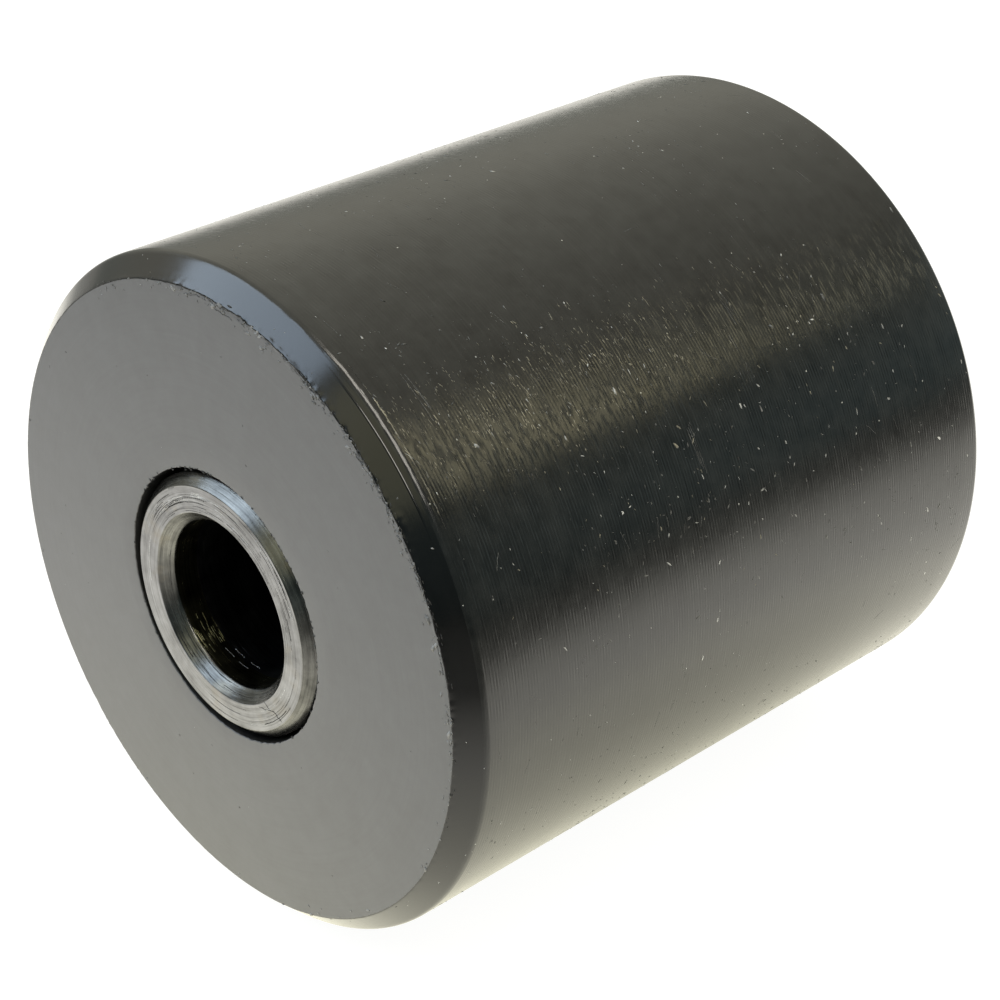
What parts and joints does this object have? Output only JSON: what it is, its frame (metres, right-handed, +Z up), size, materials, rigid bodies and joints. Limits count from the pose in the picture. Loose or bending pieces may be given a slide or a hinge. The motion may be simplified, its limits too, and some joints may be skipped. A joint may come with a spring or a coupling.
{
  "type": "track roller",
  "caption": "Solid black plastic track roller with chamfered ends, turning freely on a loose steel sleeve with a through bore for an axle bolt.",
  "frame": {"origin": "middle of the roller, on its axis", "axes": "+Y along the roller's axis; +Z up as the roller lies on its side, so that it would roll along X"},
  "size_m": [0.0762, 0.0814, 0.0762],
  "materials": {
    "black_plastic": "machined black engineering plastic with fine turning lines, small nicks and burrs at the edges",
    "turned_steel": "bright turned steel with concentric tool marks and light staining"
  },
  "bodies": {
    "sleeve": {"sleeve": "turned_steel"},
    "roller": {"roller_body": "black_plastic"}
  },
  "joints": [
    {"name": "roller_spin", "type": "hinge", "parent": "sleeve", "child": "roller", "pos_m": [0, 0, 0], "axis": [0, 1, 0], "continuous": true}
  ]
}
